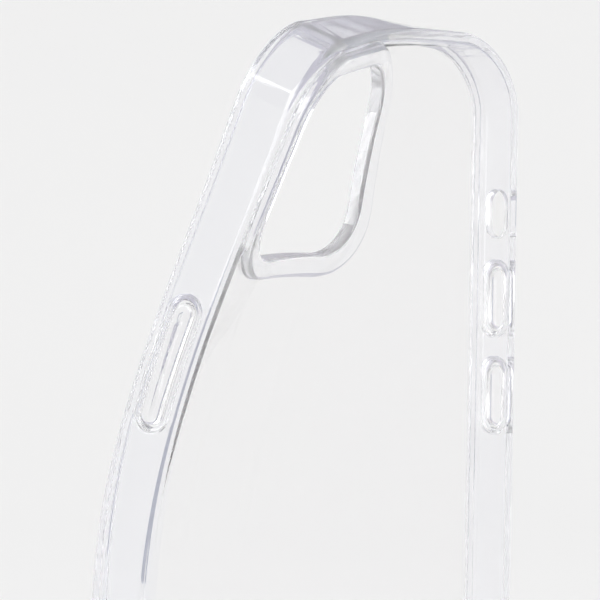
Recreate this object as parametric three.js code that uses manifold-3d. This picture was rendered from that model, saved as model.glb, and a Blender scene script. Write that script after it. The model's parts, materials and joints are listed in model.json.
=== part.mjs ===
// A clear, flexible phone case with its top left corner peeled back, as it is while the case comes off a phone.
// Millimetres. +X is to the right as seen from behind, +Y is towards the screen and +Z is up. The origin is the
// middle of the back panel's inner face, where the phone's back sits.
//
// The case is drawn flat first and cut into its regions. The regions on the peeled side are then turned about
// the fold line, so that they meet the others again, edge to edge, when the fold goes back to flat.
import * as THREE from "three";
import { mergeVertices } from "three/addons/utils/BufferGeometryUtils.js";
import Module from "manifold-3d";

const wasm = await Module();
wasm.setup();

// The phone that the case fits.
const PHONE_WIDTH = 71.5;
const PHONE_HEIGHT = 146.7;
const PHONE_DEPTH = 7.65;
const PHONE_CORNER = 11.35;

// The moulding around it.
const SIDE_WALL = 1.65;
const END_WALL = 1.7;
const BACK_THICKNESS = 1.2;
const LIP_RISE = 0.95;
const LIP_REACH = 1.1;
const BACK_EDGE_ROUND = 2.4;
const LIP_EDGE_ROUND = 0.5;
const FRAME_FOOT = 0.85;

const HALF_WIDTH = PHONE_WIDTH / 2 + SIDE_WALL;
const HALF_HEIGHT = PHONE_HEIGHT / 2 + END_WALL;
const OUTER_CORNER = PHONE_CORNER + SIDE_WALL;
const BACK = -BACK_THICKNESS;
const LIP = PHONE_DEPTH + LIP_RISE;
const MID_DEPTH = PHONE_DEPTH / 2;

// Where the straight walls end and the corners begin.
const CORNER_X = HALF_WIDTH - OUTER_CORNER;
const CORNER_Z = HALF_HEIGHT - OUTER_CORNER;

// The camera opening and the raised rim around it.
const CAMERA_LEFT = -33.2;
const CAMERA_RIGHT = -0.4;
const CAMERA_BOTTOM = 38.95;
const CAMERA_TOP = 69.95;
const CAMERA_CORNER = 8;
const RIM_WIDTH = 3.4;
const RIM_RISE = 1.6;
const RIM_ROUND = 0.7;

// Push covers: a pad inside a thin web, in a stadium-shaped hole.
const COVER_HOLE_WIDTH = 6.2;
const COVER_PAD_WIDTH = 3.4;
const COVER_BORDER = 3.3;
const COVER_PROUD = 0.45;
const COVER_THICKNESS = 1.5;
const WEB_THICKNESS = 0.6;
const WEB_SINK = 0.5;
const SIDE_HOLE_LENGTH = 22.6;
const SIDE_HOLE_Z = 20.5;
const VOLUME_HOLE_LENGTH = 12.8;
const VOLUME_UP_Z = 32.5;
const VOLUME_DOWN_Z = 16.8;

// Open cut-outs.
const SWITCH_LENGTH = 8;
const SWITCH_WIDTH = 4.6;
const SWITCH_Z = 46.3;
const PORT_LENGTH = 13;
const PORT_WIDTH = 5.4;
const SPEAKER_LENGTH = 14;
const SPEAKER_WIDTH = 2.4;
const SPEAKER_X = 17.5;

// The fold line runs from the top right corner down to the left wall, just behind the back panel.
const FOLD_BEHIND = 3.6;
const FOLD_LEAN = THREE.MathUtils.degToRad(47);
const PEEL_ANGLE = THREE.MathUtils.degToRad(32);
const BUTTON_HINGE_X = -20.8;
const BUTTON_HINGE_BEHIND = 3.2;
const BUTTON_HINGE_LEAN = THREE.MathUtils.degToRad(48);
const BUTTON_SECTION_TURN = THREE.MathUtils.degToRad(30);
const FOLD_CUT_OFFSET = -1;
const BUTTON_SECTION_TOP = 35;

const GAP = 0.3;
const WIDE_GAP = 0.6;
const BIG = 200;
const CURVE_SEGMENTS = 6;
const EDGE_SEGMENTS = 3;

const FOLD_POINT = new THREE.Vector3(CORNER_X, -FOLD_BEHIND, CORNER_Z);
const FOLD_AXIS = new THREE.Vector3(Math.sin(FOLD_LEAN), 0, Math.cos(FOLD_LEAN));
const BUTTON_HINGE_POINT = new THREE.Vector3(BUTTON_HINGE_X, -BUTTON_HINGE_BEHIND, SIDE_HOLE_Z);
const BUTTON_HINGE_AXIS = new THREE.Vector3(Math.sin(BUTTON_HINGE_LEAN), 0, Math.cos(BUTTON_HINGE_LEAN));
const ACROSS_FOLD = new THREE.Vector3(-Math.cos(FOLD_LEAN), 0, Math.sin(FOLD_LEAN));

// ---------- solids ----------

function solidOf(geometry) {
  const bare = geometry.clone();
  bare.deleteAttribute("normal");
  bare.deleteAttribute("uv");
  const merged = mergeVertices(bare, 1e-4);
  const vertProperties = new Float32Array(merged.attributes.position.array);
  const triVerts = new Uint32Array(merged.index.array);
  return new wasm.Manifold(new wasm.Mesh({ numProp: 3, vertProperties, triVerts }));
}

function geometryOf(solid) {
  const mesh = solid.getMesh();
  const indexed = new THREE.BufferGeometry();
  indexed.setAttribute("position", new THREE.BufferAttribute(new Float32Array(mesh.vertProperties), 3));
  indexed.setIndex(new THREE.BufferAttribute(new Uint32Array(mesh.triVerts), 1));
  const geometry = indexed.toNonIndexed();
  geometry.computeVertexNormals();
  return geometry;
}

function roundedRectangle(left, right, bottom, top, radius) {
  const shape = new THREE.Shape();
  shape.moveTo(left + radius, bottom);
  shape.lineTo(right - radius, bottom);
  shape.absarc(right - radius, bottom + radius, radius, -Math.PI / 2, 0);
  shape.lineTo(right, top - radius);
  shape.absarc(right - radius, top - radius, radius, 0, Math.PI / 2);
  shape.lineTo(left + radius, top);
  shape.absarc(left + radius, top - radius, radius, Math.PI / 2, Math.PI);
  shape.lineTo(left, bottom + radius);
  shape.absarc(left + radius, bottom + radius, radius, Math.PI, Math.PI * 1.5);
  return shape;
}

function caseOutline(inset) {
  const w = HALF_WIDTH - inset;
  const h = HALF_HEIGHT - inset;
  return roundedRectangle(-w, w, -h, h, OUTER_CORNER - inset);
}

function cameraOutline(grow) {
  return roundedRectangle(
    CAMERA_LEFT - grow,
    CAMERA_RIGHT + grow,
    CAMERA_BOTTOM - grow,
    CAMERA_TOP + grow,
    CAMERA_CORNER + grow,
  );
}

function stadium(length, width) {
  return roundedRectangle(-length / 2, length / 2, -width / 2, width / 2, width / 2 - 0.01);
}

function extruded(outline, depth, round) {
  return new THREE.ExtrudeGeometry(outline, {
    depth: depth - 2 * round,
    curveSegments: CURVE_SEGMENTS,
    bevelEnabled: round > 0,
    bevelThickness: round,
    bevelSize: round,
    bevelOffset: -round,
    bevelSegments: EDGE_SEGMENTS,
  }).translate(0, 0, round);
}

// An outline drawn as seen from behind, made solid from one depth to another.
function slab(outline, fromY, toY, round = 0) {
  const geometry = extruded(outline, toY - fromY, round);
  geometry.rotateX(Math.PI / 2);
  geometry.translate(0, toY, 0);
  return solidOf(geometry);
}

// A bar through a side wall, its length along Z.
function sideBar(length, width, fromX, toX, z, round = 0) {
  const geometry = extruded(stadium(length, width), toX - fromX, round);
  geometry.rotateY(Math.PI / 2);
  geometry.translate(fromX, MID_DEPTH, z);
  return solidOf(geometry);
}

// A bar through the bottom wall, its length along X.
function bottomBar(length, width, x) {
  const geometry = extruded(stadium(length, width), 3 * END_WALL, 0);
  geometry.translate(x, MID_DEPTH, -HALF_HEIGHT - END_WALL);
  return solidOf(geometry);
}

function block(fromX, toX, fromZ, toZ) {
  const geometry = new THREE.BoxGeometry(toX - fromX, BIG, toZ - fromZ);
  geometry.translate((fromX + toX) / 2, 0, (fromZ + toZ) / 2);
  return solidOf(geometry);
}

// Everything on one side of the fold cut: side is 1 for the peeled side and -1 for the other.
function foldSide(side) {
  const geometry = new THREE.BoxGeometry(BIG * 2, BIG, BIG);
  geometry.translate(0, 0, side * (BIG / 2 + GAP / 2));
  geometry.rotateY(FOLD_LEAN - Math.PI / 2);
  geometry.translate(CORNER_X, 0, CORNER_Z);
  const shift = ACROSS_FOLD.clone().multiplyScalar(FOLD_CUT_OFFSET);
  geometry.translate(shift.x, 0, shift.z);
  return solidOf(geometry);
}

// ---------- the flat moulding ----------

function flatCase() {
  const soft = slab(caseOutline(0), BACK, BIG, BACK_EDGE_ROUND);
  const front = slab(caseOutline(0), -BIG, LIP, LIP_EDGE_ROUND);
  const pocket = slab(caseOutline(SIDE_WALL), 0, PHONE_DEPTH);
  const screen = slab(caseOutline(SIDE_WALL + LIP_REACH), PHONE_DEPTH - GAP, LIP + END_WALL);
  return soft.intersect(front).subtract(pocket).subtract(screen);
}

function panelZone(grow) {
  return slab(caseOutline(SIDE_WALL + FRAME_FOOT - grow), -BIG, 0);
}

const moulding = flatCase();
const peeledSide = foldSide(1);
const heldSide = foldSide(-1);

const frame = moulding.subtract(panelZone(GAP));
const panel = moulding.intersect(panelZone(0));

// ---------- walls and corners ----------

const INSIDE_CORNER_X = CORNER_X - GAP / 2;
const INSIDE_CORNER_Z = CORNER_Z - GAP / 2;

function cornerZone(sideX, sideZ) {
  const x = sideX * (CORNER_X + GAP / 2);
  const z = sideZ * (CORNER_Z + GAP / 2);
  const farX = sideX * BIG;
  const farZ = sideZ * BIG;
  return block(Math.min(x, farX), Math.max(x, farX), Math.min(z, farZ), Math.max(z, farZ));
}

function bottomLeftCorner() {
  return frame.intersect(cornerZone(-1, -1));
}

function bottomRightCorner() {
  return frame.intersect(cornerZone(1, -1));
}

function topLeftCorner() {
  return frame.intersect(cornerZone(-1, 1));
}

function topRightCornerSideHalf() {
  return frame.intersect(cornerZone(1, 1)).intersect(heldSide);
}

function topRightCornerTopHalf() {
  return frame.intersect(cornerZone(1, 1)).intersect(peeledSide);
}

function bottomWall() {
  const zone = block(-INSIDE_CORNER_X, INSIDE_CORNER_X, -BIG, -INSIDE_CORNER_Z);
  return frame
    .intersect(zone)
    .subtract(bottomBar(PORT_LENGTH, PORT_WIDTH, 0))
    .subtract(bottomBar(SPEAKER_LENGTH, SPEAKER_WIDTH, -SPEAKER_X))
    .subtract(bottomBar(SPEAKER_LENGTH, SPEAKER_WIDTH, SPEAKER_X));
}

function topWall() {
  return frame.intersect(block(-INSIDE_CORNER_X, INSIDE_CORNER_X, INSIDE_CORNER_Z, BIG)).intersect(peeledSide);
}

function throughRightWall(length, width, z) {
  return sideBar(length, width, HALF_WIDTH - 2 * SIDE_WALL, HALF_WIDTH + SIDE_WALL, z);
}

function rightWall() {
  return frame
    .intersect(block(INSIDE_CORNER_X, BIG, -INSIDE_CORNER_Z, INSIDE_CORNER_Z))
    .subtract(throughRightWall(VOLUME_HOLE_LENGTH, COVER_HOLE_WIDTH, VOLUME_UP_Z))
    .subtract(throughRightWall(VOLUME_HOLE_LENGTH, COVER_HOLE_WIDTH, VOLUME_DOWN_Z))
    .subtract(throughRightWall(SWITCH_LENGTH, SWITCH_WIDTH, SWITCH_Z));
}

function leftWallLower() {
  return frame.intersect(block(-BIG, -INSIDE_CORNER_X, -INSIDE_CORNER_Z, INSIDE_CORNER_Z)).intersect(heldSide);
}

function leftWallButtonSection() {
  const hole = sideBar(
    SIDE_HOLE_LENGTH,
    COVER_HOLE_WIDTH,
    -HALF_WIDTH - SIDE_WALL,
    -HALF_WIDTH + 2 * SIDE_WALL,
    SIDE_HOLE_Z,
  );
  return frame
    .intersect(block(-BIG, -INSIDE_CORNER_X, -INSIDE_CORNER_Z, BUTTON_SECTION_TOP - GAP / 2))
    .intersect(peeledSide)
    .subtract(hole);
}

function leftWallUpper() {
  return frame.intersect(block(-BIG, -INSIDE_CORNER_X, BUTTON_SECTION_TOP + GAP / 2, INSIDE_CORNER_Z));
}

// ---------- back panel and camera rim ----------

function backPanelLower() {
  return panel.intersect(heldSide);
}

function backPanelUpper() {
  const clearOfButtonSection = block(
    -HALF_WIDTH + SIDE_WALL + FRAME_FOOT + WIDE_GAP,
    BIG,
    -BIG,
    BUTTON_SECTION_TOP + WIDE_GAP,
  ).add(block(-BIG, BIG, BUTTON_SECTION_TOP + WIDE_GAP, BIG));
  const rimHole = slab(cameraOutline(RIM_WIDTH + GAP), -BIG, BIG);
  return panel.intersect(peeledSide).intersect(clearOfButtonSection).subtract(rimHole);
}

function cameraRim() {
  return slab(cameraOutline(RIM_WIDTH), BACK - RIM_RISE, RIM_ROUND, RIM_ROUND)
    .intersect(panelZone(0))
    .subtract(slab(cameraOutline(0), -BIG, BIG));
}

// ---------- push covers and their webs ----------

// side is 1 on the right wall and -1 on the left one.
function cover(side, holeLength, z) {
  const outer = side * (HALF_WIDTH + COVER_PROUD);
  const inner = outer - side * COVER_THICKNESS;
  const round = COVER_PROUD / 2;
  const length = holeLength - COVER_BORDER;
  return sideBar(length, COVER_PAD_WIDTH, Math.min(inner, outer), Math.max(inner, outer), z, round);
}

function web(side, holeLength, z) {
  const outer = side * (HALF_WIDTH - WEB_SINK);
  const inner = outer - side * WEB_THICKNESS;
  const from = Math.min(inner, outer);
  const to = Math.max(inner, outer);
  const ring = sideBar(holeLength - 2 * GAP, COVER_HOLE_WIDTH - 2 * GAP, from, to, z);
  const padHole = sideBar(
    holeLength - COVER_BORDER + 2 * GAP,
    COVER_PAD_WIDTH + 2 * GAP,
    from - SIDE_WALL,
    to + SIDE_WALL,
    z,
  );
  return ring.subtract(padHole);
}

// ---------- materials and assembly ----------

const clear = { color: 0xe9ebf2, roughness: 0.12, metalness: 0 };
const clearThick = { color: 0xd5d6e2, roughness: 0.1, metalness: 0 };
const clearFrosted = { color: 0xdfe1e6, roughness: 0.3, metalness: 0 };

function piece(name, solid, look) {
  const mesh = new THREE.Mesh(geometryOf(solid), new THREE.MeshStandardMaterial(look));
  mesh.name = name;
  return mesh;
}

// A group whose content, drawn flat, is turned about a line by an angle.
function turnedAbout(point, axis, angle) {
  const turned = new THREE.Group();
  turned.position.copy(point);
  turned.quaternion.setFromAxisAngle(axis, angle);
  const drawnFlat = new THREE.Group();
  drawnFlat.position.copy(point).negate();
  turned.add(drawnFlat);
  return { turned, drawnFlat };
}

const held = new THREE.Group();
held.add(
  piece("back_panel_lower", backPanelLower(), clear),
  piece("bottom_left_corner", bottomLeftCorner(), clearThick),
  piece("bottom_wall", bottomWall(), clearThick),
  piece("bottom_right_corner", bottomRightCorner(), clearThick),
  piece("right_wall", rightWall(), clearThick),
  piece("top_right_corner_side_half", topRightCornerSideHalf(), clearThick),
  piece("left_wall_lower", leftWallLower(), clearThick),
  piece("volume_up_web", web(1, VOLUME_HOLE_LENGTH, VOLUME_UP_Z), clearFrosted),
  piece("volume_down_web", web(1, VOLUME_HOLE_LENGTH, VOLUME_DOWN_Z), clearFrosted),
  piece("volume_up_cover", cover(1, VOLUME_HOLE_LENGTH, VOLUME_UP_Z), clearThick),
  piece("volume_down_cover", cover(1, VOLUME_HOLE_LENGTH, VOLUME_DOWN_Z), clearThick),
);

const buttonSection = turnedAbout(BUTTON_HINGE_POINT, BUTTON_HINGE_AXIS, BUTTON_SECTION_TURN);
buttonSection.drawnFlat.add(
  piece("left_wall_button_section", leftWallButtonSection(), clearThick),
  piece("side_button_web", web(-1, SIDE_HOLE_LENGTH, SIDE_HOLE_Z), clearFrosted),
  piece("side_button_cover", cover(-1, SIDE_HOLE_LENGTH, SIDE_HOLE_Z), clearThick),
);

const peeled = turnedAbout(FOLD_POINT, FOLD_AXIS, PEEL_ANGLE);
peeled.drawnFlat.add(
  piece("back_panel_upper", backPanelUpper(), clear),
  piece("camera_rim", cameraRim(), clearThick),
  piece("left_wall_upper", leftWallUpper(), clearThick),
  piece("top_left_corner", topLeftCorner(), clearThick),
  piece("top_wall", topWall(), clearThick),
  piece("top_right_corner_top_half", topRightCornerTopHalf(), clearThick),
);

const phoneCase = new THREE.Group();
phoneCase.add(held, buttonSection.turned, peeled.turned);

export default phoneCase;
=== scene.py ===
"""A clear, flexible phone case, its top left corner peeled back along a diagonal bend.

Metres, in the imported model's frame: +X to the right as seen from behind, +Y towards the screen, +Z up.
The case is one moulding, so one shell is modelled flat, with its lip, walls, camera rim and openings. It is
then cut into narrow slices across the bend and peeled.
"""

import json
import math

import bmesh
import bpy
import numpy as np
from mathutils import Matrix, Vector


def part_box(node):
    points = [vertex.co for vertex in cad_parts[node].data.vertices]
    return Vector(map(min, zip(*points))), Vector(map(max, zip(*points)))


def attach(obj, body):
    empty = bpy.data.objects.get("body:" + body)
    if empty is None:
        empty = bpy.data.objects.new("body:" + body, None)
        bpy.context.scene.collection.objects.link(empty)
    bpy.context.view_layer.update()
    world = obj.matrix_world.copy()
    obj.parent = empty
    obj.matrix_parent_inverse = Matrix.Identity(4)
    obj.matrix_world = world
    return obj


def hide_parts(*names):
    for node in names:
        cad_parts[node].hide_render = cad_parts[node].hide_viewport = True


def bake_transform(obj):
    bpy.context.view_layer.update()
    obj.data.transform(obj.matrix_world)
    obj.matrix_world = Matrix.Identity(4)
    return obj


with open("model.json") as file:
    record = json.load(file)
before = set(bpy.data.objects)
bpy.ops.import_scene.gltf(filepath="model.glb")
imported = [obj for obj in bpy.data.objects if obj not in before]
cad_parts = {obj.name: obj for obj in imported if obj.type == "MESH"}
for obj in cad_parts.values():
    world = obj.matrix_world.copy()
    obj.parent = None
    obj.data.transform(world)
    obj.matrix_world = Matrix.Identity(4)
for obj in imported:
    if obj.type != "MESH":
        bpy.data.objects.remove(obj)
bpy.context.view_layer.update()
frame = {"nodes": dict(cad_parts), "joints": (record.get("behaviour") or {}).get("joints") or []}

MM = 0.001

# ---------- sizes of the moulding, flat ----------

HALF_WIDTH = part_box("right_wall")[1][0]
HALF_HEIGHT = -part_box("bottom_wall")[0][2]
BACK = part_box("back_panel_lower")[0][1]
FLOOR = 0.0
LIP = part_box("right_wall")[1][1]
MID_DEPTH = 3.825 * MM
SIDE_WALL = 1.65 * MM
OUTER_CORNER = 13 * MM
CORNER_SEGMENTS = 16

# The most of a half width that a corner may take, so that the two corners of an end never meet.
FULLEST_CORNER = 0.985

# Rounds, as width across the face and depth along the wall.
BACK_ROUND_ACROSS = 2.4 * MM
BACK_ROUND_DEEP = 1.6 * MM
LIP_RISE = 0.95 * MM
LIP_REACH = 1.1 * MM
LIP_OUTER_ROUND = 0.55 * MM
LIP_INNER_ROUND = 0.35 * MM
LIP_UNDER_ROUND = 0.2 * MM
POCKET_ROUND = 0.4 * MM
HOLE_ROUND = 0.25 * MM

# A narrow border of flat face beside each round, so that the shading of the flat face stays flat.
SUPPORT = 0.12 * MM

# The camera opening and its raised rim.
CAMERA_CENTRE = (-16.8 * MM, 54.45 * MM)
CAMERA_HALF_WIDTH = 16.4 * MM
CAMERA_HALF_HEIGHT = 15.5 * MM
CAMERA_CORNER = 8 * MM
RIM_WIDTH = 3.4 * MM
RIM_RISE = 1.6 * MM
RIM_FOOT_ROUND = 0.35 * MM
RIM_OUTER_ROUND = 0.75 * MM
RIM_INNER_ROUND = 0.6 * MM
OPENING_FLOOR_ROUND = 0.3 * MM

# Push covers: a pad in a thin web, sunk in a stadium-shaped recess.
COVER_HOLE_HALF = 2.9 * MM
COVER_PAD_HALF = 1.7 * MM
COVER_CLEARANCE = 0.35 * MM
COVER_PROUD = 0.45 * MM
COVER_THICKNESS = 1.5 * MM
COVER_EDGE_ROUND = 0.55 * MM
WEB_OUTER_DEPTH = 0.5 * MM
WEB_INNER_DEPTH = 0.55 * MM
SIDE_BUTTON_Z = 20.5 * MM
SIDE_BUTTON_HALF_LENGTH = 11.1 * MM
VOLUME_UP_Z = 32.5 * MM
VOLUME_DOWN_Z = 16.8 * MM
VOLUME_HALF_LENGTH = 6.2 * MM

# Plain openings: half length, half width and place along the wall.
SWITCH = (3.8 * MM, 2.1 * MM, 46.3 * MM)
PORT = (6.3 * MM, 2.5 * MM, 0.0)
SPEAKERS = [(6.5 * MM, 1.05 * MM, side * 17 * MM) for side in (-1, 1)]

# The bend: where it starts and ends, across the fold line.
peel_joint = next(j for j in frame["joints"] if j["name"] == "corner_peel")
FOLD_POINT = np.array(peel_joint["pos_m"])
FOLD_AXIS = np.array(peel_joint["axis"]) / np.linalg.norm(peel_joint["axis"])
PEEL_ANGLE = -math.radians(peel_joint["range_deg"][0])
BEND_LEAN = math.radians(27.5)
ACROSS_BEND = np.array([-math.cos(BEND_LEAN), 0.0, math.sin(BEND_LEAN)])
BEND_START = FOLD_POINT - 10.5 * MM * ACROSS_BEND
BEND_LENGTH = 62 * MM
BEND_SLICES = 64
BEND_HALVINGS = 40

# How near two things are when they count as being in one place, and how alike two directions are.
SLICE_SNAP = 0.02 * MM
SAME_PLANE = 0.01 * MM
SAME_DIRECTION = 0.999

# ---------- the bend ----------


def turned(vectors, angles):
    """Vectors turned about the fold axis, each by its own angle."""
    cos = np.cos(angles)[:, None]
    sin = np.sin(angles)[:, None]
    along = (vectors @ FOLD_AXIS)[:, None] * FOLD_AXIS
    return vectors * cos + np.cross(FOLD_AXIS, vectors) * sin + along * (1 - cos)


def blend_weight(points):
    t = np.clip((points - BEND_START) @ ACROSS_BEND / BEND_LENGTH, 0, 1)
    return t * t * (3 - 2 * t)


def peeled(flat):
    """Where points of the flat case lie once it is peeled.

    Each turns by the share that it has where it ends up, which is found by halving.
    """
    low = np.zeros(len(flat))
    high = np.ones(len(flat))
    for _ in range(BEND_HALVINGS):
        share = (low + high) / 2
        there = FOLD_POINT + turned(flat - FOLD_POINT, share * PEEL_ANGLE)
        further = blend_weight(there) > share
        low = np.where(further, share, low)
        high = np.where(further, high, share)
    return there


def slice_across_bend(bm):
    """Cuts the flat mesh along every line that turns by one and the same share of the peel."""
    start = (BEND_START - FOLD_POINT) @ ACROSS_BEND
    for i in range(BEND_SLICES + 1):
        t = i / BEND_SLICES
        share = t * t * (3 - 2 * t)
        normal = turned(ACROSS_BEND[None, :], np.array([-share * PEEL_ANGLE]))[0]
        point = FOLD_POINT + normal * (start + t * BEND_LENGTH)
        everything = bm.verts[:] + bm.edges[:] + bm.faces[:]
        bmesh.ops.bisect_plane(bm, geom=everything, dist=SLICE_SNAP, plane_co=point, plane_no=normal)


def peel(mesh):
    """Moves a flat mesh's points to where they lie once the case is peeled."""
    co = np.empty(len(mesh.vertices) * 3)
    mesh.vertices.foreach_get("co", co)
    mesh.vertices.foreach_set("co", peeled(co.reshape(-1, 3)).ravel())
    mesh.update()


# ---------- mesh tools ----------


def rounded_face(bm, centre, along, across, half_length, half_width, radius, segments=CORNER_SEGMENTS):
    """A flat face with round corners. It looks towards along x across."""
    before = set(bm.faces)
    corners = []
    for u, v in ((-1, -1), (1, -1), (1, 1), (-1, 1)):
        corners.append(bm.verts.new(centre + along * (u * half_length) + across * (v * half_width)))
    bm.faces.new(corners)
    radius = min(radius, FULLEST_CORNER * half_width, FULLEST_CORNER * half_length)
    bmesh.ops.bevel(
        bm, geom=corners, offset=radius, segments=segments, profile=0.5, affect="VERTICES", material=-1
    )
    face = next(f for f in bm.faces if f not in before)
    face.normal_update()
    return face


def step(bm, cap, inward, outward):
    """Insets a cap and moves it along its own normal."""
    bmesh.ops.inset_region(
        bm, faces=[cap], thickness=inward, depth=outward, use_even_offset=True, use_boundary=True
    )


def steps(bm, cap, moves):
    """Takes a cap through a profile, given as moves inward and outward."""
    for inward, outward in moves:
        step(bm, cap, inward, outward)


def wall_to_face(across, along, segments=6):
    """Moves round a quarter of an ellipse that starts along the wall and ends flat."""
    turns = [math.pi / 2 * i / segments for i in range(segments + 1)]
    return [
        (across * (math.cos(a) - math.cos(b)), along * (math.sin(b) - math.sin(a)))
        for a, b in zip(turns, turns[1:])
    ]


def face_to_wall(across, along, segments=6):
    """Moves round a quarter of an ellipse that starts flat and ends along the wall."""
    return wall_to_face(across, along, segments)[::-1]


def pierce(bm, face, outlines):
    """Opens a flat face around outlines and returns the cap of each."""
    normal = face.normal.copy()
    border = list(face.edges)
    bmesh.ops.delete(bm, geom=[face], context="FACES_ONLY")
    caps = [rounded_face(bm, *outline) for outline in outlines]
    loops = border + [edge for cap in caps for edge in cap.edges]
    bmesh.ops.triangle_fill(bm, use_beauty=True, edges=loops, normal=normal)
    return caps


def join_caps(bm, first, second):
    """Takes two caps away and joins their edges, as the wall of a hole."""
    edges = list(first.edges) + list(second.edges)
    bmesh.ops.delete(bm, geom=[first, second], context="FACES_ONLY")
    bmesh.ops.bridge_loops(bm, edges=edges)


def flat_face(bm, normal, at):
    """The largest face that looks along normal and lies in the plane at that distance along it."""
    normal = Vector(normal)
    alike = [f for f in bm.faces if f.normal.dot(normal) > SAME_DIRECTION]
    found = [f for f in alike if abs(f.calc_center_median().dot(normal) - at) < SAME_PLANE]
    return max(found, key=lambda f: f.calc_area())


def new_piece(name, bm):
    """Makes an object of a closed mesh, with its faces outward and smooth."""
    bmesh.ops.recalc_face_normals(bm, faces=bm.faces)
    open_edges = [e for e in bm.edges if not e.is_manifold]
    if open_edges:
        raise RuntimeError(f"{name} has {len(open_edges)} open edges")
    mesh = bpy.data.meshes.new(name)
    bm.to_mesh(mesh)
    bm.free()
    mesh.polygons.foreach_set("use_smooth", [True] * len(mesh.polygons))
    piece = bpy.data.objects.new(name, mesh)
    bpy.context.scene.collection.objects.link(piece)
    return piece


# ---------- the shell ----------

X, Y, Z = Vector((1, 0, 0)), Vector((0, 1, 0)), Vector((0, 0, 1))

BACK_PROFILE = wall_to_face(BACK_ROUND_ACROSS, BACK_ROUND_DEEP, 10) + [(SUPPORT, 0)]

WALL_TOP = LIP - LIP_OUTER_ROUND
WALL_BOTTOM = BACK + BACK_ROUND_DEEP
POCKET_WALL = LIP - LIP_RISE - LIP_UNDER_ROUND - POCKET_ROUND - FLOOR
FRONT_PROFILE = (
    [(0, WALL_TOP - WALL_BOTTOM - 2 * SUPPORT), (0, SUPPORT)]
    + wall_to_face(LIP_OUTER_ROUND, LIP_OUTER_ROUND)
    + [(SIDE_WALL + LIP_REACH - LIP_OUTER_ROUND - LIP_INNER_ROUND, 0)]
    + face_to_wall(LIP_INNER_ROUND, -LIP_INNER_ROUND)
    + [(0, LIP_INNER_ROUND + LIP_UNDER_ROUND - LIP_RISE)]
    + wall_to_face(-LIP_UNDER_ROUND, -LIP_UNDER_ROUND, 3)
    + [(2 * LIP_UNDER_ROUND - LIP_REACH, 0)]
    + face_to_wall(-LIP_UNDER_ROUND, -LIP_UNDER_ROUND, 3)
    + [(0, -SUPPORT), (0, 2 * SUPPORT - POCKET_WALL), (0, -SUPPORT)]
    + wall_to_face(POCKET_ROUND, -POCKET_ROUND)
    + [(SUPPORT, 0)]
)

RIM_MARGIN = RIM_WIDTH + RIM_FOOT_ROUND + SUPPORT
RIM_TOP_WIDTH = RIM_WIDTH - RIM_OUTER_ROUND - RIM_INNER_ROUND
RIM_CROWN = 0.05 * MM
RIM_PROFILE = (
    [(SUPPORT, 0)]
    + face_to_wall(RIM_FOOT_ROUND, RIM_FOOT_ROUND, 4)
    + [(0, RIM_RISE - RIM_FOOT_ROUND - RIM_OUTER_ROUND)]
    + wall_to_face(RIM_OUTER_ROUND, RIM_OUTER_ROUND)
    + [(RIM_TOP_WIDTH / 2, RIM_CROWN), (RIM_TOP_WIDTH / 2, -RIM_CROWN)]
    + face_to_wall(RIM_INNER_ROUND, -RIM_INNER_ROUND)
    + [(0, -SUPPORT)]
)
OPENING_FLOOR_MARGIN = OPENING_FLOOR_ROUND + SUPPORT
OPENING_FLOOR_PROFILE = (
    [(SUPPORT, 0)]
    + face_to_wall(OPENING_FLOOR_ROUND, -OPENING_FLOOR_ROUND, 4)
    + [(0, -SUPPORT)]
)

HOLE_MARGIN = HOLE_ROUND + SUPPORT
HOLE_PROFILE = [(SUPPORT, 0)] + face_to_wall(HOLE_ROUND, -HOLE_ROUND, 4)
HOLE_END_SEGMENTS = 10

# The shell's materials, in the order of its slots.
FRAME_SLOT, PANEL_SLOT = 0, 1


def camera_outline(y, across, margin):
    """The camera opening, grown by a margin. It looks towards X x across."""
    centre = Vector((CAMERA_CENTRE[0], y, CAMERA_CENTRE[1]))
    half_width = CAMERA_HALF_WIDTH + margin
    return (centre, X, across, half_width, CAMERA_HALF_HEIGHT + margin, CAMERA_CORNER + margin)


def stadium(centre, along, across, half_length, half_width):
    """An outline for a hole, with room around it for the hole's rounded edge."""
    grown = half_width + HOLE_MARGIN
    return (centre, along, across, half_length + HOLE_MARGIN, grown, grown, HOLE_END_SEGMENTS)


def recess(bm, cap, depth):
    """Sinks a cap to a web's face and narrows it to the hole around the pad."""
    border = COVER_HOLE_HALF - COVER_PAD_HALF - COVER_CLEARANCE
    foot = 2 * SUPPORT if depth > HOLE_ROUND + 2 * SUPPORT else depth - HOLE_ROUND
    steps(bm, cap, HOLE_PROFILE)
    steps(bm, cap, [(0, HOLE_ROUND - depth + foot)])
    steps(bm, cap, wall_to_face(foot, -foot, 3))
    steps(bm, cap, [(border - foot, 0)])


def through_holes(bm, outward, along, across, outer_at, inner_at, holes, covers):
    """Makes plain holes and cover recesses through one flat wall. along x across looks outward."""

    def outlines(at, side):
        middle = outward * at + Y * MID_DEPTH
        return [
            stadium(middle + along * place, along, across * side, half_length, half_width)
            for half_length, half_width, place in [*holes, *covers]
        ]

    outside = pierce(bm, flat_face(bm, outward, outer_at), outlines(outer_at, 1))
    inside = pierce(bm, flat_face(bm, -outward, -inner_at), outlines(inner_at, -1))
    for i, (outer, inner) in enumerate(zip(outside, inside)):
        if i < len(holes):
            steps(bm, outer, HOLE_PROFILE)
            steps(bm, inner, HOLE_PROFILE)
        else:
            recess(bm, outer, WEB_OUTER_DEPTH)
            recess(bm, inner, WEB_INNER_DEPTH)
        join_caps(bm, outer, inner)


def mark_panel(bm):
    """Gives the flat faces of the back, inside and out, the panel's material, and the rest the frame's."""
    for face in bm.faces:
        depth = face.calc_center_median().y
        on_panel = min(abs(depth - BACK), abs(depth - FLOOR)) < 0.1 * SAME_PLANE
        flat = abs(face.normal.y) > SAME_DIRECTION
        face.material_index = PANEL_SLOT if flat and on_panel else FRAME_SLOT


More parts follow.
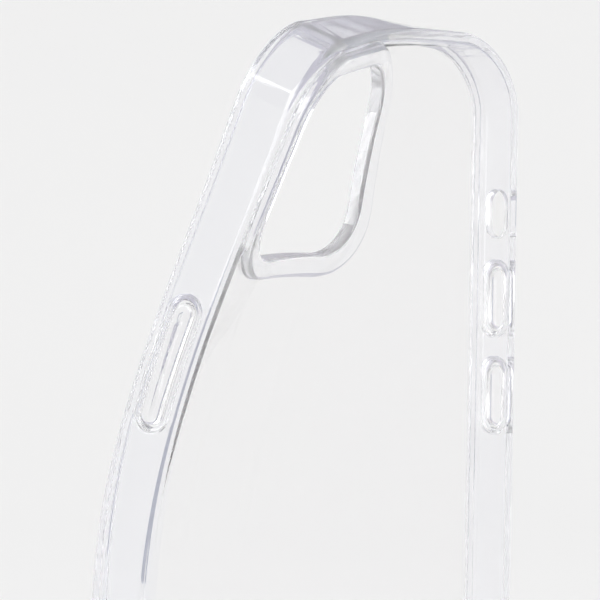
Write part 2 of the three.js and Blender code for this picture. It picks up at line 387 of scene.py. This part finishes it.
def moulded_shell():
    """The whole moulding: a slab drawn into a tray, then its openings, then the bend."""
    bm = bmesh.new()
    start = Vector((0, WALL_BOTTOM, 0))
    back = rounded_face(bm, start, X, Z, HALF_WIDTH, HALF_HEIGHT, OUTER_CORNER)
    extruded = bmesh.ops.extrude_face_region(bm, geom=[back])["geom"]
    front = next(g for g in extruded if isinstance(g, bmesh.types.BMFace))
    bmesh.ops.translate(bm, vec=Y * SUPPORT, verts=front.verts[:])
    bmesh.ops.recalc_face_normals(bm, faces=bm.faces)
    steps(bm, back, BACK_PROFILE)
    steps(bm, front, FRONT_PROFILE)
    bm.normal_update()

    rim = pierce(bm, back, [camera_outline(BACK, Z, RIM_MARGIN)])[0]
    steps(bm, rim, RIM_PROFILE)
    opening = pierce(bm, front, [camera_outline(FLOOR, -Z, OPENING_FLOOR_MARGIN)])[0]
    steps(bm, opening, OPENING_FLOOR_PROFILE)
    join_caps(bm, rim, opening)

    side_cover = (SIDE_BUTTON_HALF_LENGTH, COVER_HOLE_HALF, SIDE_BUTTON_Z)
    volume_covers = [(VOLUME_HALF_LENGTH, COVER_HOLE_HALF, z) for z in (VOLUME_UP_Z, VOLUME_DOWN_Z)]
    inner_x = HALF_WIDTH - SIDE_WALL
    inner_z = HALF_HEIGHT - SIDE_WALL
    through_holes(bm, -X, Z, Y, HALF_WIDTH, inner_x, [], [side_cover])
    through_holes(bm, X, Z, -Y, HALF_WIDTH, inner_x, [SWITCH], volume_covers)
    through_holes(bm, -Z, X, -Y, HALF_HEIGHT, inner_z, [PORT, *SPEAKERS], [])

    mark_panel(bm)
    bmesh.ops.triangulate(bm, faces=[f for f in bm.faces if len(f.verts) > 4])
    slice_across_bend(bm)
    shell = new_piece("clear_shell", bm)
    peel(shell.data)
    return shell


def cover_pad(name, outward, half_length, z):
    """A push cover: a block with round ends and a well rounded outer edge."""
    bm = bmesh.new()
    along, across = (Z, Y) if outward.x < 0 else (Z, -Y)
    foot = HALF_WIDTH + COVER_PROUD - COVER_THICKNESS
    centre = outward * foot + Y * MID_DEPTH + Z * z
    half_length = half_length - COVER_HOLE_HALF + COVER_PAD_HALF
    base = rounded_face(
        bm, centre, along, across, half_length, COVER_PAD_HALF, COVER_PAD_HALF, HOLE_END_SEGMENTS
    )
    extruded = bmesh.ops.extrude_face_region(bm, geom=[base])["geom"]
    inner = next(g for g in extruded if isinstance(g, bmesh.types.BMFace))
    bmesh.ops.translate(bm, vec=outward * (COVER_THICKNESS / 3), verts=base.verts[:])
    bmesh.ops.recalc_face_normals(bm, faces=bm.faces)
    steps(bm, base, [(0, COVER_THICKNESS * 2 / 3 - COVER_EDGE_ROUND)])
    steps(bm, base, wall_to_face(COVER_EDGE_ROUND, COVER_EDGE_ROUND))
    steps(bm, base, [(SUPPORT, 0)])
    steps(bm, inner, [(SUPPORT, 0)])
    bmesh.ops.triangulate(bm, faces=[f for f in bm.faces if len(f.verts) > 4])
    slice_across_bend(bm)
    pad = new_piece(name, bm)
    peel(pad.data)
    return pad


# ---------- finishes ----------


class Sock:
    """A shader socket that takes part in Python expressions."""

    def __init__(self, tree, socket):
        self.tree = tree
        self.socket = socket

    def maths(self, operation, *others):
        node = self.tree.nodes.new("ShaderNodeMath")
        node.operation = operation
        for slot, value in zip(node.inputs, (self, *others)):
            connect(self.tree, slot, value)
        return Sock(self.tree, node.outputs[0])

    def __add__(self, other):
        return self.maths("ADD", other)

    __radd__ = __add__

    def __mul__(self, other):
        return self.maths("MULTIPLY", other)

    __rmul__ = __mul__


def connect(tree, slot, value):
    """Links a socket to a slot, or sets the slot to a plain value."""
    if isinstance(value, Sock):
        tree.links.new(value.socket, slot)
    else:
        slot.default_value = value


class Finish:
    """A material made of nodes."""

    def __init__(self, name):
        self.material = bpy.data.materials.new(name)
        self.material.use_nodes = True
        self.tree = self.material.node_tree
        self.tree.nodes.clear()

    def node(self, kind, settings=None, inputs=None, output=0):
        node = self.tree.nodes.new(kind)
        for key, value in (settings or {}).items():
            setattr(node, key, value)
        for key, value in (inputs or {}).items():
            connect(self.tree, node.inputs[key], value)
        return Sock(self.tree, node.outputs[output]) if node.outputs else None

    def place(self):
        return self.node("ShaderNodeTexCoord", output="Object")

    def noise(self, scale, detail):
        return self.node(
            "ShaderNodeTexNoise", inputs={"Vector": self.place(), "Scale": scale, "Detail": detail}
        )

    def blend(self, first, second, share):
        return self.node(
            "ShaderNodeMix", {"data_type": "RGBA"}, {"Factor": share, 6: first, 7: second}, output=2
        )

    def bump(self, height, strength, distance):
        return self.node(
            "ShaderNodeBump", inputs={"Height": height, "Strength": strength, "Distance": distance}
        )

    def surface(self, **inputs):
        named = {key.replace("_", " "): value for key, value in inputs.items()}
        shader = self.node("ShaderNodeBsdfPrincipled", inputs=named)
        self.node("ShaderNodeOutputMaterial", inputs={"Surface": shader})
        return self.material


# Noise scales, in features to the metre, and the height of the mould's waves.
FLOW_SCALE = 38
WAVE_SCALE = 55
HAZE_SCALE = 420
GRAIN_SCALE = 2600
GRAIN_SHARE = 0.002
WAVE_STRENGTH = 0.55
WAVE_HEIGHT = 0.35 * MM
PLASTIC_IOR = 1.5
MOTTLE_SCALE = 3
FIBRE_SCALE = 900


def clear_soft_plastic(name, tint, deeper_tint, gloss, scuff, clarity):
    """Clear soft plastic: glossy, slightly wavy from the mould, with a faint haze of handling marks.

    The clarity is the share of light that goes through. The rest is the milkiness of soft plastic.
    """
    finish = Finish(name)
    flow = finish.noise(FLOW_SCALE, 2)
    haze = finish.noise(HAZE_SCALE, 3)
    waves = finish.noise(WAVE_SCALE, 1)
    grain = finish.noise(GRAIN_SCALE, 2)
    colour = finish.blend((*tint, 1), (*deeper_tint, 1), flow)
    roughness = gloss + scuff * haze
    normal = finish.bump(waves + grain * GRAIN_SHARE, WAVE_STRENGTH, WAVE_HEIGHT)
    return finish.surface(
        Base_Color=colour,
        Roughness=roughness,
        Normal=normal,
        IOR=PLASTIC_IOR,
        Transmission_Weight=clarity,
        Specular_IOR_Level=0.5,
    )


def studio_paper(name, colour):
    """Matt paper or card, a little mottled and fibrous."""
    finish = Finish(name)
    mottle = finish.noise(MOTTLE_SCALE, 2)
    fibre = finish.noise(FIBRE_SCALE, 2)
    darker = [c * 0.985 for c in colour]
    shade = finish.blend((*colour, 1), (*darker, 1), mottle)
    return finish.surface(Base_Color=shade, Roughness=0.9 + 0.05 * fibre, Specular_IOR_Level=0.1)


# ---------- the studio ----------

VIEW_TARGET = Vector((-0.88, 9.47, 31.87)) * MM
VIEW_AZIMUTH = math.radians(-41.725)
VIEW_ELEVATION = math.radians(0.39)
VIEW_ROLL = math.radians(0.99)
VIEW_DISTANCE = 0.9
VIEW_FAR_END = 20
LENS = 339.12
SENSOR = 36

PAPER_GAP = 0.2 * MM
FLOOR_RADIUS = 1.5
SWEEP_RADIUS = 1.2
SWEEP_TURN = math.radians(54)
SWEEP_STEPS = 24
SWEEP_SIDES = 96
PAPER_COLOUR = (0.86, 0.86, 0.86)
FLAG_COLOUR = (0.42, 0.44, 0.53)
AIR_COLOUR = (0.53, 0.52, 0.59)
TOP_LIGHT_COLOUR = (0.985, 1, 0.865)
LIGHT_BOUNCES = 80


def backdrop():
    """A round sheet of pale paper that sweeps up all round."""
    floor_level = -HALF_HEIGHT - PAPER_GAP
    bm = bmesh.new()
    last = bm.verts.new((0, 0, floor_level))
    for i in range(SWEEP_STEPS + 1):
        turn = SWEEP_TURN * i / SWEEP_STEPS
        last = bmesh.ops.extrude_vert_indiv(bm, verts=[last])["verts"][0]
        last.co = (
            FLOOR_RADIUS + SWEEP_RADIUS * math.sin(turn),
            0,
            floor_level + SWEEP_RADIUS * (1 - math.cos(turn)),
        )
    profile = bm.verts[:] + bm.edges[:]
    bmesh.ops.spin(
        bm, geom=profile, cent=(0, 0, 0), axis=(0, 0, 1), angle=math.tau, steps=SWEEP_SIDES, use_merge=True
    )
    bmesh.ops.remove_doubles(bm, verts=bm.verts, dist=SAME_PLANE)
    bmesh.ops.recalc_face_normals(bm, faces=bm.faces)
    mesh = bpy.data.meshes.new("studio_paper")
    bm.to_mesh(mesh)
    bm.free()
    mesh.polygons.foreach_set("use_smooth", [True] * len(mesh.polygons))
    mesh.materials.append(studio_paper("pale_paper", PAPER_COLOUR))
    paper = bpy.data.objects.new("studio_paper", mesh)
    bpy.context.scene.collection.objects.link(paper)


def aimed(location, target):
    """The turn that faces something at a location towards a target."""
    back = (Vector(location) - Vector(target)).normalized()
    return back.to_track_quat("Z", "Y").to_matrix().to_4x4()


def soft_light(name, location, target, width, height, power, for_paper=False, colour=(1, 1, 1)):
    """A soft box. It lights either the paper or the gloss on the case, so that each is set by itself."""
    light = bpy.data.lights.new(name, "AREA")
    light.shape = "RECTANGLE"
    light.size = width
    light.size_y = height
    light.energy = power
    light.color = colour
    lamp = bpy.data.objects.new(name, light)
    lamp.matrix_world = Matrix.Translation(location) @ aimed(location, target)
    lamp.visible_camera = False
    lamp.visible_diffuse = for_paper
    lamp.visible_glossy = not for_paper
    lamp.visible_transmission = not for_paper
    bpy.context.scene.collection.objects.link(lamp)


def grey_flag(name, location, target, width, height):
    """A grey card, seen only in the gloss and bends of the case, where it draws soft dark lines."""
    bm = bmesh.new()
    bmesh.ops.create_grid(bm, x_segments=1, y_segments=1, size=0.5)
    bmesh.ops.scale(bm, vec=(width, height, 1), verts=bm.verts)
    bmesh.ops.transform(bm, matrix=Matrix.Translation(location) @ aimed(location, target), verts=bm.verts)
    mesh = bpy.data.meshes.new(name)
    bm.to_mesh(mesh)
    bm.free()
    mesh.materials.append(studio_paper(name, FLAG_COLOUR))
    flag = bpy.data.objects.new(name, mesh)
    flag.visible_camera = False
    flag.visible_diffuse = False
    flag.visible_shadow = False
    bpy.context.scene.collection.objects.link(flag)


def beside_view(right, forward, up):
    """A place given as the camera sees it from the middle of the case."""
    across = Vector((math.cos(VIEW_AZIMUTH), math.sin(VIEW_AZIMUTH), 0))
    ahead = Vector((-math.sin(VIEW_AZIMUTH), math.cos(VIEW_AZIMUTH), 0))
    return across * right + ahead * forward + Z * up


def studio():
    """Pale paper, lavender grey air above it, soft boxes and two grey cards beside the view."""
    scene = bpy.context.scene
    backdrop()
    world = bpy.data.worlds.new("studio_air")
    world.use_nodes = True
    air = world.node_tree.nodes["Background"]
    air.inputs["Color"].default_value = (*AIR_COLOUR, 1)
    air.inputs["Strength"].default_value = 1.0
    scene.world = world
    centre = Vector((0, 0, 0.03))
    soft_light(
        "top_light", (0, 0, 5), centre, width=6, height=6, power=192, for_paper=True, colour=TOP_LIGHT_COLOUR
    )
    soft_light("left_soft_box", beside_view(-1.6, -0.6, 0.4), centre, width=0.9, height=1.6, power=15)
    soft_light("front_soft_box", beside_view(-0.3, -1.8, 0.5), centre, width=2.0, height=1.6, power=42)
    grey_flag("left_flag", beside_view(-0.8, 1.35, 0.25), centre, width=0.4, height=1.1)
    grey_flag("right_flag", beside_view(0.8, 1.35, 0.25), centre, width=0.4, height=1.1)
    scene.cycles.max_bounces = LIGHT_BOUNCES
    scene.cycles.transmission_bounces = LIGHT_BOUNCES
    scene.cycles.glossy_bounces = LIGHT_BOUNCES
    scene.view_settings.view_transform = "Standard"
    scene.view_settings.look = "None"


# ---------- the camera ----------


def camera():
    """A long lens, almost level with the case, behind it and to its left."""
    az, el, roll = VIEW_AZIMUTH, VIEW_ELEVATION, VIEW_ROLL
    back = Vector((math.sin(az) * math.cos(el), -math.cos(az) * math.cos(el), math.sin(el)))
    level = Vector((math.cos(az), math.sin(az), 0))
    upright = back.cross(level)
    right = level * math.cos(roll) + upright * math.sin(roll)
    up = upright * math.cos(roll) - level * math.sin(roll)
    data = bpy.data.cameras.new("camera")
    data.lens = LENS
    data.sensor_width = SENSOR
    data.clip_end = VIEW_FAR_END
    eye = bpy.data.objects.new("camera", data)
    turn = Matrix((right, up, back)).transposed().to_4x4()
    eye.matrix_world = Matrix.Translation(VIEW_TARGET + back * VIEW_DISTANCE) @ turn
    bpy.context.scene.collection.objects.link(eye)
    bpy.context.scene.camera = eye


# ---------- putting it together ----------

camera()
studio()

clear_frame = clear_soft_plastic(
    "clear_frame",
    tint=(0.975, 0.977, 0.992),
    deeper_tint=(0.955, 0.96, 0.985),
    gloss=0.015,
    scuff=0.03,
    clarity=0.93,
)
clear_panel = clear_soft_plastic(
    "clear_panel",
    tint=(0.995, 0.993, 0.993),
    deeper_tint=(0.988, 0.985, 0.987),
    gloss=0.015,
    scuff=0.03,
    clarity=0.955,
)
clear_cover = clear_soft_plastic(
    "clear_cover",
    tint=(0.985, 0.985, 0.99),
    deeper_tint=(0.97, 0.97, 0.985),
    gloss=0.06,
    scuff=0.06,
    clarity=0.96,
)

shell = moulded_shell()
shell.data.materials.append(clear_frame)
shell.data.materials.append(clear_panel)
# Clear plastic hardly darkens the paper under it, so the pieces cast no shadow.
shell.visible_shadow = False
shell_nodes = [n for n in frame["nodes"] if not n.endswith("_cover")]
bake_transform(shell)
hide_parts(*shell_nodes)

for name, outward, half_length, z, body in (
    ("side_button_pad", -X, SIDE_BUTTON_HALF_LENGTH, SIDE_BUTTON_Z, "side_button"),
    ("volume_up_pad", X, VOLUME_HALF_LENGTH, VOLUME_UP_Z, "volume_up"),
    ("volume_down_pad", X, VOLUME_HALF_LENGTH, VOLUME_DOWN_Z, "volume_down"),
):
    pad = cover_pad(name, outward, half_length, z)
    pad.data.materials.append(clear_cover)
    pad.visible_shadow = False
    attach(pad, body)
    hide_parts(name.replace("_pad", "_cover"))
